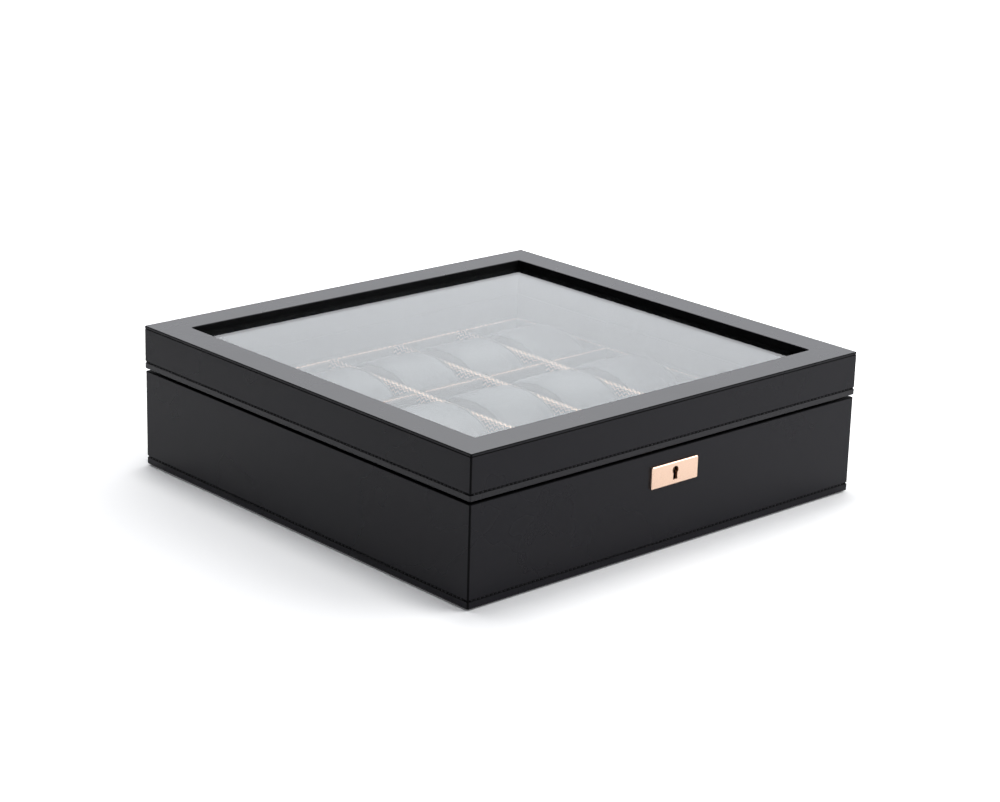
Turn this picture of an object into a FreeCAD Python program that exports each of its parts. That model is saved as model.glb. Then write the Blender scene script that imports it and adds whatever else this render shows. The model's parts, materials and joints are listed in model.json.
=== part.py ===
import FreeCAD, Part
import math
import os

os.makedirs("parts", exist_ok=True)
V = FreeCAD.Vector

# Overall size in millimetres: X runs along the face with the lock, Y to the back, Z up
box_width = 311.0
box_depth = 302.3
box_height = 90.0
rim_height = 61.2            # top of the base's rim
lid_gap = 1.7                # open line between base and lid
corner_radius = 1.0          # upright corners of the covered box
base_step = 0.3              # base drawn in under the lid, on each side

# Leather covering
leather = 1.2
top_leather = 1.7            # sheet on top of the lid, its cut edge shows on the sides
top_bevel = 0.45             # trimmed top edge of that sheet
seam_bevel = 0.35            # each side of the seam between top sheet and side strip
rim_radius = 0.5             # softened edges at the open line
foot_radius = 1.0            # softened lower edge of the base
opening_radius = 0.8         # rolled edge of the leather round the glass
opening_corner = 1.2         # plan radius of the opening's corners
turn_lap = 1.8               # leather turned under past the boards
stitch_groove_width = 1.3
stitch_groove_depth = 0.6
lid_stitch_height = 4.1      # sewn line above the lid's lower edge
base_stitch_height = 5.0     # sewn line above the base's lower edge

# Wooden case
board = 14.7
floor_board = 6.0
pad_sheet = 0.8              # suede pad that the box rests on
pad_inset = 5.0
pad_clearance = 0.3

# Lining
lining_board = 2.5
floor_lining = 1.5
lip_height = 2.0             # lining standing above the base's rim
lip_clearance = 0.5          # lid frame outside the lip
lid_rest = 0.2               # lid lining above the lip

# Lid
frame_width = 20.5           # leather frame round the glass
glass_thickness = 3.0
glass_recess = 4.4           # glass below the top of the frame
glass_clearance = 0.5

# Tray
columns = 5
rows = 3
tray_wall = 4.2
divider = 6.8                # padded board between two compartments
tray_height = 38.9
tray_clearance = 0.3
divider_round = 3.0          # rounded top edges of walls and dividers
halving_clearance = 0.1      # each side of a halved joint

# Watch cuffs
cuff_height = 43.0
cuff_side_gap = 1.45         # cuff to column divider
cuff_end_gap = 2.3           # cuff to row divider
cuff_seat = 0.3              # cuff above the floor lining
cuff_draw_down = 3.0         # crown lower at the sewn sides
cuff_draw_in = 3.0           # ends drawn in at the sewn sides
cuff_end_radius = 22.0       # round front and rear ends
cuff_flank_radius = 60.0     # flank from the widest level down to the base
cuff_shoulder = 20.0         # degrees from the crown's middle to the round ends

# Lock
plate_width = 37.4
plate_height = 13.4
plate_thickness = 1.6
plate_center_height = 46.4
plate_corner = 0.8
plate_edge = 0.45            # bevel round the face
keyhole_radius = 2.4
keyhole_height = 48.2        # centre of the keyhole's round part
keyhole_waist = 2.9          # slot width where it leaves the round part
keyhole_foot = 3.6           # slot width at its lower end
keyhole_drop = 5.6           # slot below the round part's centre
lock_width = 38.0
lock_body = 25.2             # lock case height, up to the rim
lock_depth = 9.0
lock_shell = 1.2
lock_cheek = 6.0             # solid ends that take the screws
drill_pin_radius = 0.8
bolt_height = 4.5
bolt_thickness = 3.0
bolt_length = 13.0
bolt_top_gap = 2.2           # bolt under the roof of the lock
bolt_tail = 3.0              # lower part that the key's bit moves
bolt_talon = 4.0             # notch for the bit
bolt_throw = 5.0
bolt_clearance = 0.4
spring_leaf = 0.4
spring_gap = 0.15

# Strike on the lid
strike_width = 26.0
strike_depth = 8.0
staple_thickness = 2.4
staple_below_bolt = 1.6
staple_wall = 0.9
staple_gap = 0.6             # bolt's tip beside the staple at rest

# Hinges
hinge_spread = 180.0         # between the two hinges
hinge_width = 36.0
hinge_reach = 11.0           # leaf inward from the back face
hinge_axis_out = 0.9         # pin behind the back face
barrel_radius = 2.2
hinge_pin_radius = 1.0
pin_clearance = 0.05
knuckle_gap = 0.2
knuckle_relief = 0.3         # leaf and leather round a turning knuckle
leaf_clearance = 0.1

# Screws
screw_head_radius = 2.0
screw_head_depth = 0.9
screw_shank_radius = 1.0
screw_length = 8.5
lock_screw_length = 11.0
screw_clearance = 0.05
screw_spacing = 22.0         # along a hinge leaf

# Levels, from the floor up
half_width = box_width / 2
half_depth = box_depth / 2
board_low = pad_sheet + leather
board_top = rim_height - leather
floor_top = board_low + floor_board
lining_top = floor_top + floor_lining
lip_top = rim_height + lip_height
tray_top = lining_top + tray_height
lid_low = rim_height + lid_gap
rail_low = lid_low + leather
seam_level = box_height - top_leather
glass_top = box_height - glass_recess
glass_low = glass_top - glass_thickness

# Insets from the outer faces
base_skin = base_step + leather
wall_inset = base_skin + board
turn_under = wall_inset + turn_lap
lining_inset = wall_inset + lining_board
lid_inset = wall_inset - lip_clearance
flange_inset = frame_width - leather
glass_inset = lid_inset + glass_clearance
tray_inset = lining_inset + tray_clearance
pocket_inset = tray_inset + tray_wall

tiny = 0.001
overrun = 5.0                # how far cutting tools reach past a face
nodes = {}

# Plan corners of each side, as signs of X and Y
side_ends = {
    "front": ((-1, -1), (1, -1)),
    "right": ((1, -1), (1, 1)),
    "back": ((1, 1), (-1, 1)),
    "left": ((-1, 1), (-1, -1)),
}


def block(inset, low, high, radius=0.0):
    """Block of the box's plan, drawn in by inset, with rounded upright corners."""
    wide = half_width - inset
    deep = half_depth - inset
    solid = Part.makeBox(2 * wide, 2 * deep, high - low, V(-wide, -deep, low))
    if radius <= 0:
        return solid
    upright = [edge for edge in solid.Edges if edge.BoundBox.ZLength > tiny]
    return solid.makeFillet(radius, upright)


def ring(outer, inner, low, high, outer_radius=0.0, inner_radius=0.0):
    """Frame between two insets."""
    hole = block(inner, low, high, inner_radius)
    return block(outer, low, high, outer_radius).cut(hole)


def bar(x, y, z):
    """Block between pairs of X, Y and Z values."""
    return Part.makeBox(x[1] - x[0], y[1] - y[0], z[1] - z[0], V(x[0], y[0], z[0]))


def mitred(side, outer, inner, low, high):
    """One side of a frame, mitred at both ends."""
    start, end = side_ends[side]
    plan = []
    for corner, inset in ((start, outer), (end, outer), (end, inner), (start, inner)):
        plan.append(V(corner[0] * (half_width - inset), corner[1] * (half_depth - inset), low))
    face = Part.Face(Part.makePolygon(plan + plan[:1]))
    return face.extrude(V(0, 0, high - low))


def inset_of(edge):
    """How far the middle of an edge lies inside the outer faces."""
    middle = edge.valueAt((edge.FirstParameter + edge.LastParameter) / 2)
    return min(half_width - abs(middle.x), half_depth - abs(middle.y))


def level_edges(solid, level, least, most):
    """Edges at one height whose inset lies between two values."""
    picked = []
    for edge in solid.Edges:
        room = edge.BoundBox
        if room.ZLength < tiny and abs(room.ZMin - level) < tiny and least < inset_of(edge) < most:
            picked.append(edge)
    return picked


def outline_edges(solid, level, face=0.0):
    """Edges of the outer outline at one height, where face is the outline's inset."""
    return level_edges(solid, level, face - tiny, face + leather - tiny)


def whole(pieces):
    """Join pieces of one solid and clean its faces."""
    joined = pieces[0]
    for piece in pieces[1:]:
        joined = joined.fuse(piece)
    return joined.removeSplitter()


def stitch_groove(level, face=0.0):
    """Shallow channel round the outside for a sewn line."""
    low = level - stitch_groove_width / 2
    high = level + stitch_groove_width / 2
    inner_radius = corner_radius - stitch_groove_depth
    return ring(-overrun, face + stitch_groove_depth, low, high, 0.0, inner_radius)


def screw(place, direction, length, clearance=0.0):
    """Countersunk screw whose head is flush at place; clearance turns it into its hole."""
    shank_radius = screw_shank_radius + clearance
    head = Part.makeCone(screw_head_radius + clearance, shank_radius, screw_head_depth, place, direction)
    shank = Part.makeCylinder(shank_radius, length + clearance, place, direction)
    return head.fuse(shank).removeSplitter()


def drive(screws, holed):
    """Cut the holes of some screws in the named nodes."""
    for name in holed:
        for place, direction, length in screws:
            nodes[name] = nodes[name].cut(screw(place, direction, length, screw_clearance))


# Wooden case and the pad under it
nodes["base_floor"] = block(wall_inset, board_low, floor_top)
for side in side_ends:
    nodes["base_" + side + "_board"] = mitred(side, base_skin, wall_inset, board_low, board_top)
pad_plug = block(turn_under + pad_clearance, 0, board_low)
nodes["base_pad"] = whole([block(pad_inset, 0, pad_sheet, corner_radius), pad_plug])

# Leather of the base: sides, turned over the rim and under the boards
base_leather = whole([
    ring(base_step, base_skin, pad_sheet, rim_height, corner_radius),
    ring(base_step, wall_inset, board_top, rim_height, corner_radius),
    ring(base_step, turn_under, pad_sheet, board_low, corner_radius),
])
base_leather = base_leather.makeFillet(rim_radius, outline_edges(base_leather, rim_height, base_step))
base_leather = base_leather.makeFillet(foot_radius, outline_edges(base_leather, pad_sheet, base_step))
nodes["base_leather"] = base_leather.cut(stitch_groove(pad_sheet + base_stitch_height, base_step))

# Lining, which stands above the rim as a lip
nodes["lining_floor"] = block(wall_inset, floor_top, lining_top)
for side in side_ends:
    nodes["lining_" + side] = mitred(side, wall_inset, lining_inset, lining_top, lip_top)

# Tray walls with their inner top edge rounded
for side in side_ends:
    wall = mitred(side, tray_inset, pocket_inset, lining_top, tray_top)
    inner_top = level_edges(wall, tray_top, pocket_inset - tiny, pocket_inset + tiny)
    nodes["tray_" + side + "_wall"] = wall.makeFillet(divider_round, inner_top)

# Dividers, halved into each other where they cross
pocket_half_width = half_width - pocket_inset
pocket_half_depth = half_depth - pocket_inset
pocket_width = (2 * pocket_half_width - (columns - 1) * divider) / columns
pocket_depth = (2 * pocket_half_depth - (rows - 1) * divider) / rows
column_pitch = pocket_width + divider
row_pitch = pocket_depth + divider
column_lines = [(i - columns / 2) * column_pitch for i in range(1, columns)]
row_lines = [(i - rows / 2) * row_pitch for i in range(1, rows)]
halving_level = (lining_top + tray_top) / 2
slot_half = divider / 2 + halving_clearance


def padded_divider(along_x, half_length):
    """Straight divider on the tray's middle line, its top edges rounded."""
    x = (-half_length, half_length) if along_x else (-divider / 2, divider / 2)
    y = (-divider / 2, divider / 2) if along_x else (-half_length, half_length)
    solid = bar(x, y, (lining_top, tray_top))
    long_edges = []
    for edge in solid.Edges:
        if edge.Length > 2 * half_length - tiny and edge.BoundBox.ZMin > tray_top - tiny:
            long_edges.append(edge)
    return solid.makeFillet(divider_round, long_edges)


row_names = ["row_divider_front", "row_divider_rear"]
if rows != 3:
    row_names = ["row_divider_" + str(i) for i in range(1, rows)]
for name, line in zip(row_names, row_lines):
    row = padded_divider(True, pocket_half_width)
    for crossing in column_lines:
        x = (crossing - slot_half, crossing + slot_half)
        row = row.cut(bar(x, (-divider, divider), (halving_level, tray_top + overrun)))
    row.translate(V(0, line, 0))
    nodes[name] = row
for number, line in enumerate(column_lines, 1):
    column = padded_divider(False, pocket_half_depth)
    for crossing in row_lines:
        y = (crossing - slot_half, crossing + slot_half)
        column = column.cut(bar((-divider, divider), y, (lining_top - overrun, halving_level)))
    column.translate(V(line, 0, 0))
    nodes["column_divider_" + str(number)] = column

# Watch cuffs: padded loaves with a flat base, round ends and drawn-in sewn sides
cuff_width = pocket_width - 2 * cuff_side_gap
cuff_length = pocket_depth - 2 * cuff_end_gap


def cuff_outline(x, length, height):
    """Outline across the cuff: base line, flanks, round ends and crown, each tangent to the next."""
    lean = math.sin(math.radians(cuff_shoulder))
    rise = math.cos(math.radians(cuff_shoulder))
    crown_radius = (length / 2 - cuff_end_radius * (1 - lean)) / lean
    middle_y = (crown_radius - cuff_end_radius) * lean
    middle_z = height - crown_radius + (crown_radius - cuff_end_radius) * rise
    shoulder = (middle_y + cuff_end_radius * lean, middle_z + cuff_end_radius * rise)
    bend = math.radians((90 - cuff_shoulder) / 2)
    end = (middle_y + cuff_end_radius * math.cos(bend), middle_z + cuff_end_radius * math.sin(bend))
    slope = math.asin(middle_z / cuff_flank_radius)
    flank_middle = length / 2 - cuff_flank_radius
    foot = flank_middle + cuff_flank_radius * math.cos(slope)
    flank_side = flank_middle + cuff_flank_radius * math.cos(slope / 2)
    flank = (flank_side, middle_z - cuff_flank_radius * math.sin(slope / 2))
    edges = [Part.LineSegment(V(x, -foot, 0), V(x, foot, 0))]
    edges.append(Part.Arc(V(x, foot, 0), V(x, *flank), V(x, length / 2, middle_z)))
    edges.append(Part.Arc(V(x, length / 2, middle_z), V(x, *end), V(x, *shoulder)))
    edges.append(Part.Arc(V(x, *shoulder), V(x, 0, height), V(x, -shoulder[0], shoulder[1])))
    widest = V(x, -length / 2, middle_z)
    edges.append(Part.Arc(V(x, -shoulder[0], shoulder[1]), V(x, -end[0], end[1]), widest))
    edges.append(Part.Arc(widest, V(x, -flank[0], flank[1]), V(x, -foot, 0)))
    return Part.Wire([edge.toShape() for edge in edges])


# Stations along the cuff as shares of its half width, with how much of the draw-in they have
cuff_stations = ((-1.0, 1.0), (-0.4, 0.0), (0.4, 0.0), (1.0, 1.0))
cuff_sections = []
for share, drawn in cuff_stations:
    length = cuff_length - 2 * drawn * cuff_draw_in
    height = cuff_height - drawn * cuff_draw_down
    cuff_sections.append(cuff_outline(share * cuff_width / 2, length, height))
cuff = Part.makeLoft(cuff_sections, True, True)
for row in range(rows):
    for column in range(columns):
        x = (column - (columns - 1) / 2) * column_pitch
        y = (row - (rows - 1) / 2) * row_pitch
        name = "cuff_r" + str(row + 1) + "c" + str(column + 1)
        nodes[name] = cuff.translated(V(x, y, lining_top + cuff_seat))

# Lid rails, rebated for the glass, with the boards that hold it from below
for side in side_ends:
    upright = mitred(side, leather, lid_inset, rail_low, glass_top)
    flange = mitred(side, leather, flange_inset, glass_top, seam_level)
    nodes["lid_" + side + "_rail"] = whole([upright, flange])
    nodes["lid_lining_" + side] = mitred(side, lid_inset, lining_inset, lip_top + lid_rest, glass_low)
nodes["glass_pane"] = block(glass_inset, glass_low, glass_top)

# Leather of the lid: side strip turned in under the rails, and the top sheet turned down to the glass
side_leather = whole([
    ring(0, leather, lid_low, seam_level, corner_radius),
    ring(0, lid_inset, lid_low, rail_low, corner_radius),
])
side_leather = side_leather.makeFillet(rim_radius, outline_edges(side_leather, lid_low))
side_leather = side_leather.makeChamfer(seam_bevel, outline_edges(side_leather, seam_level))
nodes["lid_side_leather"] = side_leather.cut(stitch_groove(lid_low + lid_stitch_height))
top_sheet = whole([
    ring(0, frame_width, seam_level, box_height, corner_radius, opening_corner),
    ring(flange_inset, frame_width, glass_top, seam_level, 0.0, opening_corner),
])
rolled = level_edges(top_sheet, box_height, leather, frame_width + opening_corner)
top_sheet = top_sheet.makeFillet(opening_radius, rolled)
top_sheet = top_sheet.makeChamfer(top_bevel, outline_edges(top_sheet, box_height))
top_sheet = top_sheet.makeChamfer(seam_bevel, outline_edges(top_sheet, seam_level))
nodes["lid_top_leather"] = top_sheet

# Keyhole and the plate round it
front_face = base_step - half_depth
lock_back = -(half_depth - wall_inset)
lock_front = lock_back - lock_depth
lock_roof = rim_height - lock_shell
lock_low = rim_height - lock_body
cavity_front = lock_front + lock_shell
cavity_back = lock_back - lock_shell
cavity_low = lock_low + lock_shell
cavity_half = lock_width / 2 - lock_cheek


def keyhole(front, back):
    """Round hole with a slot that widens downward, cut along Y."""
    deep = back - front
    round_part = Part.makeCylinder(keyhole_radius, deep, V(0, front, keyhole_height), V(0, 1, 0))
    foot_level = keyhole_height - keyhole_drop
    corners = [
        V(-keyhole_waist / 2, front, keyhole_height),
        V(keyhole_waist / 2, front, keyhole_height),
        V(keyhole_foot / 2, front, foot_level),
        V(-keyhole_foot / 2, front, foot_level),
    ]
    slot = Part.Face(Part.makePolygon(corners + corners[:1])).extrude(V(0, deep, 0))
    return round_part.fuse(slot).removeSplitter()


plate_x = (-plate_width / 2, plate_width / 2)
plate_z = (plate_center_height - plate_height / 2, plate_center_height + plate_height / 2)
plate = bar(plate_x, (front_face - plate_thickness, front_face), plate_z)
plate_uprights = [edge for edge in plate.Edges if edge.BoundBox.YLength > tiny]
plate = plate.makeFillet(plate_corner, plate_uprights)
face_edges = [edge for edge in plate.Edges if edge.BoundBox.YMax < front_face - plate_thickness + tiny]
plate = plate.makeChamfer(plate_edge, face_edges)
key_way = keyhole(front_face - plate_thickness - overrun, cavity_front + tiny)
nodes["lock_plate"] = plate.cut(key_way)

# Lock case let into the front board, its top flush with the rim
case_x = (-lock_width / 2, lock_width / 2)
mortise = bar(case_x, (lock_front, lock_back + overrun), (lock_low, rim_height + overrun))
nodes["base_front_board"] = nodes["base_front_board"].cut(mortise).cut(key_way)
nodes["base_leather"] = nodes["base_leather"].cut(mortise).cut(key_way)
cavity_x = (-cavity_half, cavity_half)
case = bar(case_x, (lock_front, cavity_back), (lock_low, rim_height))
case = case.cut(bar(cavity_x, (cavity_front, cavity_back), (cavity_low, lock_roof)))

# Bolt at rest beside the staple, which hangs from the lid into the lock
bolt_y_middle = (cavity_front + cavity_back) / 2
bolt_y = (bolt_y_middle - bolt_thickness / 2, bolt_y_middle + bolt_thickness / 2)
bolt_high = lock_roof - bolt_top_gap
bolt_z = (bolt_high - bolt_height, bolt_high)
bolt_tip = -cavity_half + bolt_throw + 2 * staple_thickness + staple_gap
bolt_x = (bolt_tip, bolt_tip + bolt_length)
staple_x = (bolt_tip - staple_gap - staple_thickness, bolt_tip - staple_gap)
tail_x = (bolt_tip + bolt_throw - staple_gap + bolt_clearance, bolt_x[1])
tail = bar(tail_x, bolt_y, (bolt_z[0] - bolt_tail, bolt_z[0]))
talon_middle = (tail_x[0] + tail_x[1]) / 2
talon_x = (talon_middle - bolt_talon / 2, talon_middle + bolt_talon / 2)
talon = bar(talon_x, bolt_y, (bolt_z[0] - bolt_tail, bolt_z[0] - bolt_tail / 3))
nodes["lock_bolt"] = whole([bar(bolt_x, bolt_y, bolt_z), tail]).cut(talon)

eye_y = (bolt_y[0] - bolt_clearance, bolt_y[1] + bolt_clearance)
eye_z = (bolt_z[0] - bolt_clearance, bolt_z[1] + bolt_clearance)
staple_y = (eye_y[0] - staple_wall, eye_y[1] + staple_wall)
staple_z = (bolt_z[0] - staple_below_bolt, lid_low)
strike_y = (bolt_y_middle - strike_depth / 2, bolt_y_middle + strike_depth / 2)
strike_x = (-strike_width / 2, strike_width / 2)
strike = bar(strike_x, strike_y, (lid_low, rail_low))
staple = bar(staple_x, staple_y, staple_z).cut(bar(staple_x, eye_y, eye_z))
nodes["strike_plate"] = whole([strike, staple])
strike_room = bar(
    (strike_x[0] - leaf_clearance, strike_x[1] + leaf_clearance),
    (strike_y[0] - leaf_clearance, strike_y[1] + overrun),
    (lid_low - overrun, rail_low),
)
nodes["lid_side_leather"] = nodes["lid_side_leather"].cut(strike_room)

# Slot in the lock's roof for the staple, and the cap with the pin that guides the key
slot_x = (staple_x[0] - bolt_clearance, staple_x[1] + bolt_clearance)
slot_y = (staple_y[0] - bolt_clearance, staple_y[1] + bolt_clearance)
nodes["lock_case"] = case.cut(bar(slot_x, slot_y, (lock_roof, rim_height))).cut(key_way)
cap = bar(case_x, (cavity_back, lock_back), (lock_low, rim_height))
drill_pin_length = cavity_back - cavity_front - bolt_clearance
drill_pin_root = V(0, cavity_back, keyhole_height)
drill_pin = Part.makeCylinder(drill_pin_radius, drill_pin_length, drill_pin_root, V(0, -1, 0))
nodes["lock_cap"] = whole([cap, drill_pin])

# Leaf spring from the right cheek down to the bolt's top
spring_high = lock_roof - spring_leaf
spring_low = bolt_z[1] + spring_gap
spring_mid = (spring_high + 2 * spring_low) / 3
spring_end = (bolt_x[0] + bolt_x[1]) / 2
spring_middle = (spring_end + cavity_half) / 2
spring_line = [(cavity_half, spring_high), (spring_middle, spring_mid), (spring_end, spring_low)]
under = [V(x, bolt_y[0], z) for x, z in spring_line]
over = [V(x, bolt_y[0], z + spring_leaf) for x, z in spring_line]
spring_edges = [
    Part.Arc(*under).toShape(),
    Part.LineSegment(under[2], over[2]).toShape(),
    Part.Arc(over[2], over[1], over[0]).toShape(),
    Part.LineSegment(over[0], under[0]).toShape(),
]
nodes["lock_spring"] = Part.Face(Part.Wire(spring_edges)).extrude(V(0, bolt_thickness, 0))

# Hinges: three knuckles on a pin, leaves let into the leather of the two rims
axis_y = half_depth + hinge_axis_out
axis_z = rim_height + lid_gap / 2
knuckle = hinge_width / 3
leaf_y = (half_depth - hinge_reach, axis_y)
base_leaves = []
lid_leaves = []
hinge_pins = []
hinge_lines = (-hinge_spread / 2, hinge_spread / 2)
for line in hinge_lines:
    low = line - hinge_width / 2
    high = line + hinge_width / 2
    left_end = low + knuckle
    right_end = high - knuckle

    def barrel(start, end, radius):
        return Part.makeCylinder(radius, end - start, V(start, axis_y, axis_z), V(1, 0, 0))

    bore = barrel(low - overrun, high + overrun, hinge_pin_radius + pin_clearance)
    turning = barrel_radius + knuckle_relief
    base_leaf = bar((low, high), leaf_y, (board_top, rim_height))
    base_leaf = base_leaf.cut(barrel(left_end - knuckle_gap, right_end + knuckle_gap, turning))
    base_knuckles = [
        barrel(low, left_end - knuckle_gap, barrel_radius),
        barrel(right_end + knuckle_gap, high, barrel_radius),
    ]
    base_leaves.append(whole([base_leaf] + base_knuckles).cut(bore))
    lid_leaf = bar((low, high), leaf_y, (lid_low, rail_low))
    lid_leaf = lid_leaf.cut(barrel(low - overrun, left_end, turning))
    lid_leaf = lid_leaf.cut(barrel(right_end, high + overrun, turning))
    lid_leaves.append(whole([lid_leaf, barrel(left_end, right_end, barrel_radius)]).cut(bore))
    hinge_pins.append(barrel(low, high, hinge_pin_radius))
    room_x = (low - leaf_clearance, high + leaf_clearance)
    room_y = (leaf_y[0] - leaf_clearance, half_depth + overrun)
    barrel_room = barrel(room_x[0], room_x[1], turning)
    base_room = bar(room_x, room_y, (board_top, rim_height + overrun)).fuse(barrel_room)
    lid_room = bar(room_x, room_y, (lid_low - overrun, rail_low)).fuse(barrel_room)
    nodes["base_leather"] = nodes["base_leather"].cut(base_room)
    nodes["lid_side_leather"] = nodes["lid_side_leather"].cut(lid_room)
nodes["hinge_base_leaves"] = Part.makeCompound(base_leaves)
nodes["hinge_lid_leaves"] = Part.makeCompound(lid_leaves)
nodes["hinge_pins"] = Part.makeCompound(hinge_pins)

# Screws: two in each hinge leaf, two in the strike plate, two through the lock's cheeks
down = V(0, 0, -1)
up = V(0, 0, 1)
forward = V(0, -1, 0)
screw_line_y = (leaf_y[0] + half_depth - leather) / 2
leaf_points = []
for line in hinge_lines:
    for step in (-screw_spacing / 2, screw_spacing / 2):
        leaf_points.append((line + step, screw_line_y))
base_leaf_screws = [(V(x, y, rim_height), down, screw_length) for x, y in leaf_points]
lid_leaf_screws = [(V(x, y, lid_low), up, screw_length) for x, y in leaf_points]
strike_screw_x = strike_width / 2 - 2 * screw_head_radius
strike_screws = [(V(x, bolt_y_middle, lid_low), up, screw_length) for x in (-strike_screw_x, strike_screw_x)]
cheek_middle = lock_width / 2 - lock_cheek / 2
lock_screw_level = (lock_low + board_top) / 2
lock_points = [V(x, lock_back, lock_screw_level) for x in (-cheek_middle, cheek_middle)]
lock_screws = [(point, forward, lock_screw_length) for point in lock_points]
drive(base_leaf_screws, ["hinge_base_leaves", "base_back_board"])
drive(lid_leaf_screws, ["hinge_lid_leaves", "lid_back_rail"])
drive(strike_screws, ["strike_plate", "lid_front_rail"])
drive(lock_screws, ["lock_cap", "lock_case", "base_front_board"])
nodes["base_screws"] = Part.makeCompound([screw(*one) for one in base_leaf_screws + lock_screws])
nodes["lid_screws"] = Part.makeCompound([screw(*one) for one in lid_leaf_screws + strike_screws])

for name, shape in nodes.items():
    shape.exportStep("parts/" + name + ".step")
print(len(nodes), "nodes")
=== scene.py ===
import json
import math
import random

import bpy
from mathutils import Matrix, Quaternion, Vector


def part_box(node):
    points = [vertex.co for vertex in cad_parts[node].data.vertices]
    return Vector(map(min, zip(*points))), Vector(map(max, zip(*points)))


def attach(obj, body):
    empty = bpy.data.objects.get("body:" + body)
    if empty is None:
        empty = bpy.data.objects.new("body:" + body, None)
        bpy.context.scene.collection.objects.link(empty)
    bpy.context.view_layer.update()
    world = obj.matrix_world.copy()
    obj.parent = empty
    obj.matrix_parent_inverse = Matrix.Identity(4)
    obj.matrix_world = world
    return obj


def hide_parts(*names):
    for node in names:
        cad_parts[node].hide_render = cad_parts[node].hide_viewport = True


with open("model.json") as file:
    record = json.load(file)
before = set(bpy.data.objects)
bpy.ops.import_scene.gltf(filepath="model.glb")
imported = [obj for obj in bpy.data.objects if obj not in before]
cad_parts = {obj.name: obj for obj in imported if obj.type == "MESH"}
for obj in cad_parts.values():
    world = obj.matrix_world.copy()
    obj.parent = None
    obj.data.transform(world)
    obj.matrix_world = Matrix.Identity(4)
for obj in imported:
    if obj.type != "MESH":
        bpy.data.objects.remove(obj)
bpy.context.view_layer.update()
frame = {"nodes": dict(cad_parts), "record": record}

scene = bpy.context.scene
scene.view_settings.view_transform = "Standard"
nodes = frame["nodes"]
mm = 0.001
sides = ("front", "right", "back", "left")
cuffNames = sorted(name for name in nodes if name.startswith("cuff_"))
print("frame loaded:", len(nodes), "nodes,", len(cuffNames), "cuffs")


# helpers

def hexLinear(code):
    out = []
    for i in (1, 3, 5):
        c = int(code[i:i + 2], 16) / 255
        out.append(c / 12.92 if c <= 0.04045 else ((c + 0.055) / 1.055) ** 2.4)
    return (*out, 1.0)


def addNode(tree, kind, settings=None, values=None, links=None):
    node = tree.nodes.new(kind)
    for name, value in (settings or {}).items():
        setattr(node, name, value)
    for name, value in (values or {}).items():
        node.inputs[name].default_value = value
    for name, source in (links or {}).items():
        tree.links.new(source, node.inputs[name])
    return node


def newMaterial(name):
    material = bpy.data.materials.new(name)
    material.use_nodes = True
    tree = material.node_tree
    tree.nodes.clear()
    output = tree.nodes.new("ShaderNodeOutputMaterial")
    return material, tree, output


def setTones(ramp, places, codes):
    for element, place, code in zip(ramp.color_ramp.elements, places, codes):
        element.position = place
        element.color = hexLinear(code)


def fromTo(source, target):
    # values of a map range
    return {"From Min": source[0], "From Max": source[1], "To Min": target[0], "To Max": target[1]}


def tubeFaces(rings, around, closed=False):
    # quads between rings of points; a closed tube joins its last ring to its first
    faces = []
    for i in range(rings if closed else rings - 1):
        here = i * around
        there = (i + 1) % rings * around
        for k in range(around):
            after = (k + 1) % around
            faces.append((here + k, here + after, there + after, there + k))
    return faces


def meshPiece(name, points, faces, material, body):
    mesh = bpy.data.meshes.new(name)
    mesh.from_pydata(points, [], faces)
    mesh.validate()
    mesh.materials.append(material)
    for polygon in mesh.polygons:
        polygon.use_smooth = True
    piece = bpy.data.objects.new(name, mesh)
    scene.collection.objects.link(piece)
    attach(piece, body)
    return piece


# materials: sizes and depths are in mm, and a spread is the part of a noise that carries the change

leatherLook = {
    "colour": "#121117",         # black aniline dye
    "colourWorn": "#17161c",     # where handling has dulled it
    "grainSize": 0.9,            # between pores, drawn coarser than real calf so that it shows
    "grainSoft": 0.6,            # how softly one pore runs into the next
    "grainDepth": 0.018,
    "grainStrength": 0.35,
    "patchSize": 60.0,           # slow change of finish over a hide
    "patchDetail": 3.0,
    "spread": (0.1, 0.9),        # wide, so that a patch has no visible edge
    "roughness": (0.24, 0.32),
    "ior": 1.27,
    "iorSheen": 1.38,            # a more reflective copy of the leather, a painted sheen for the lighter strip below the lid's sewn line and the stitch bridges
}


def smoothCalfLeather(name, ior):
    # vegetable-tanned calf, plated smooth and waxed: a broad soft highlight over a very fine pore grain
    look = leatherLook
    material, tree, output = newMaterial(name)
    place = addNode(tree, "ShaderNodeTexCoord").outputs["Object"]
    patch = addNode(tree, "ShaderNodeTexNoise",
                    values={"Scale": 1 / (look["patchSize"] * mm), "Detail": look["patchDetail"]},
                    links={"Vector": place}).outputs["Fac"]
    pores = addNode(tree, "ShaderNodeTexVoronoi", {"feature": "SMOOTH_F1"},
                    {"Scale": 1 / (look["grainSize"] * mm), "Smoothness": look["grainSoft"]},
                    {"Vector": place}).outputs["Distance"]
    tint = addNode(tree, "ShaderNodeValToRGB", links={"Fac": patch})
    setTones(tint, look["spread"], (look["colour"], look["colourWorn"]))
    rough = addNode(tree, "ShaderNodeMapRange", values=fromTo(look["spread"], look["roughness"]),
                    links={"Value": patch})
    bump = addNode(tree, "ShaderNodeBump",
                   values={"Strength": look["grainStrength"], "Distance": look["grainDepth"] * mm},
                   links={"Height": pores})
    shader = addNode(tree, "ShaderNodeBsdfPrincipled", values={"IOR": ior},
                     links={"Base Color": tint.outputs["Color"], "Roughness": rough.outputs["Result"],
                            "Normal": bump.outputs["Normal"]})
    tree.links.new(shader.outputs["BSDF"], output.inputs["Surface"])
    return material


edgeAndShadeLook = {
    "colour": "#08080a",
    "ripple": 0.8,
    "rippleDetail": 2.0,
    "rippleDepth": 0.05,
    "rippleStrength": 0.3,
    "roughness": 0.7,
    "ior": 1.4,
    "specular": 0.15,
}


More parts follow.
